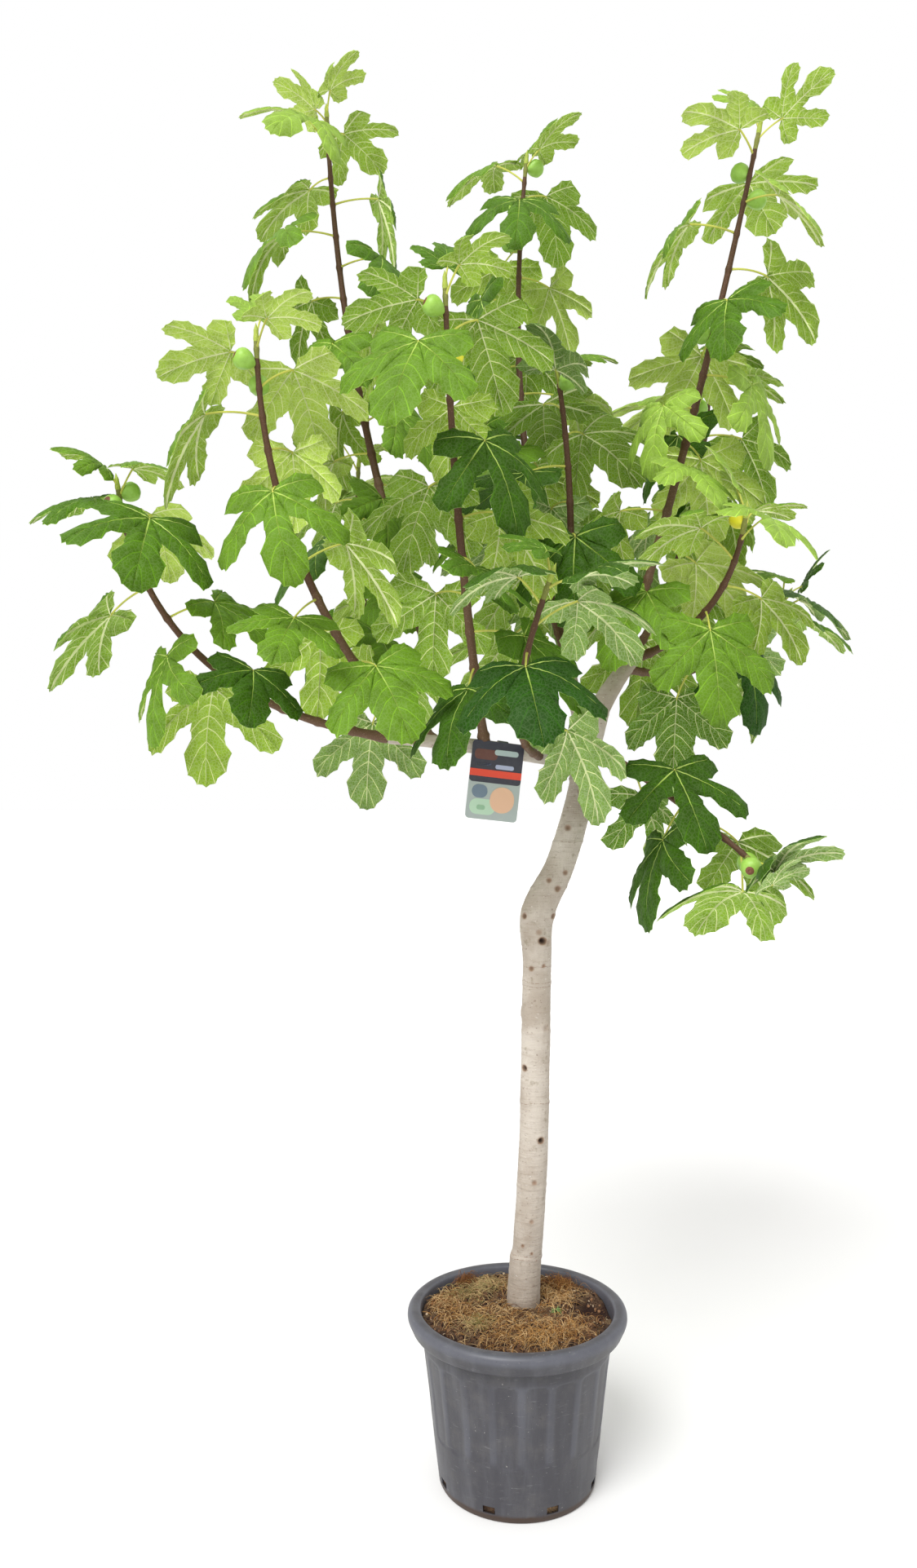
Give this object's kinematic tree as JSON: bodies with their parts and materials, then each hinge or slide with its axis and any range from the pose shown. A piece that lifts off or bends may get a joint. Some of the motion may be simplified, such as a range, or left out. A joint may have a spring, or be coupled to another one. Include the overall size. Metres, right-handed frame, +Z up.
{
  "type": "potted fig tree",
  "caption": "Young fruiting fig tree grown as a standard: a clear pale trunk, an open crown of lobed leaves and small figs, in a round grey nursery pot.",
  "frame": {"origin": "centre of the pot's flat underside", "axes": "+Z up, along the trunk; -Y is the side that the tree shows best; +X to the right as seen from there"},
  "size_m": [1.7521, 1.2292, 2.9927],
  "materials": {
    "pot_plastic": "dark slate grey moulded plastic, satin, scuffed on its rim",
    "potting_soil": "brown, crumbly, with dry fibres and a little moss",
    "pale_bark": "smooth pale grey bark with fine cross marks",
    "shoot_bark": "smooth dark red-brown bark with leaf scars",
    "leaf_green": "soft matt green, pale veins, lighter underneath",
    "leaf_stalk": "smooth pale yellow-green",
    "fig_skin": "smooth unripe green skin",
    "printed_card": "thin glossy card with a plain coloured pattern"
  },
  "bodies": {
    "root": {"pot": "pot_plastic", "potting_soil": "potting_soil", "trunk": "pale_bark", "bough_left": "pale_bark", "bough_centre": "pale_bark", "bough_right": "pale_bark", "bough_left_low": "shoot_bark", "bough_left_mid": "shoot_bark", "bough_front_tall": "shoot_bark", "bough_front_low": "shoot_bark", "bough_right_tall": "shoot_bark", "bough_left_tall": "shoot_bark", "bough_right_mid": "shoot_bark", "bough_right_low": "shoot_bark", "bough_centre_mid": "shoot_bark", "bough_back_tall": "shoot_bark", "bough_back_right": "shoot_bark", "bough_back_left": "shoot_bark", "bough_back_mid": "shoot_bark", "bough_back_low": "shoot_bark", "foliage_left_low": "leaf_green", "foliage_left_mid": "leaf_green", "foliage_front_tall": "leaf_green", "foliage_front_low": "leaf_green", "foliage_right_tall": "leaf_green", "foliage_left_tall": "leaf_green", "foliage_right_mid": "leaf_green", "foliage_right_low": "leaf_green", "foliage_centre_mid": "leaf_green", "foliage_back_tall": "leaf_green", "foliage_back_right": "leaf_green", "foliage_back_left": "leaf_green", "foliage_back_mid": "leaf_green", "foliage_back_low": "leaf_green", "plant_label": "printed_card"}
  },
  "joints": []
}
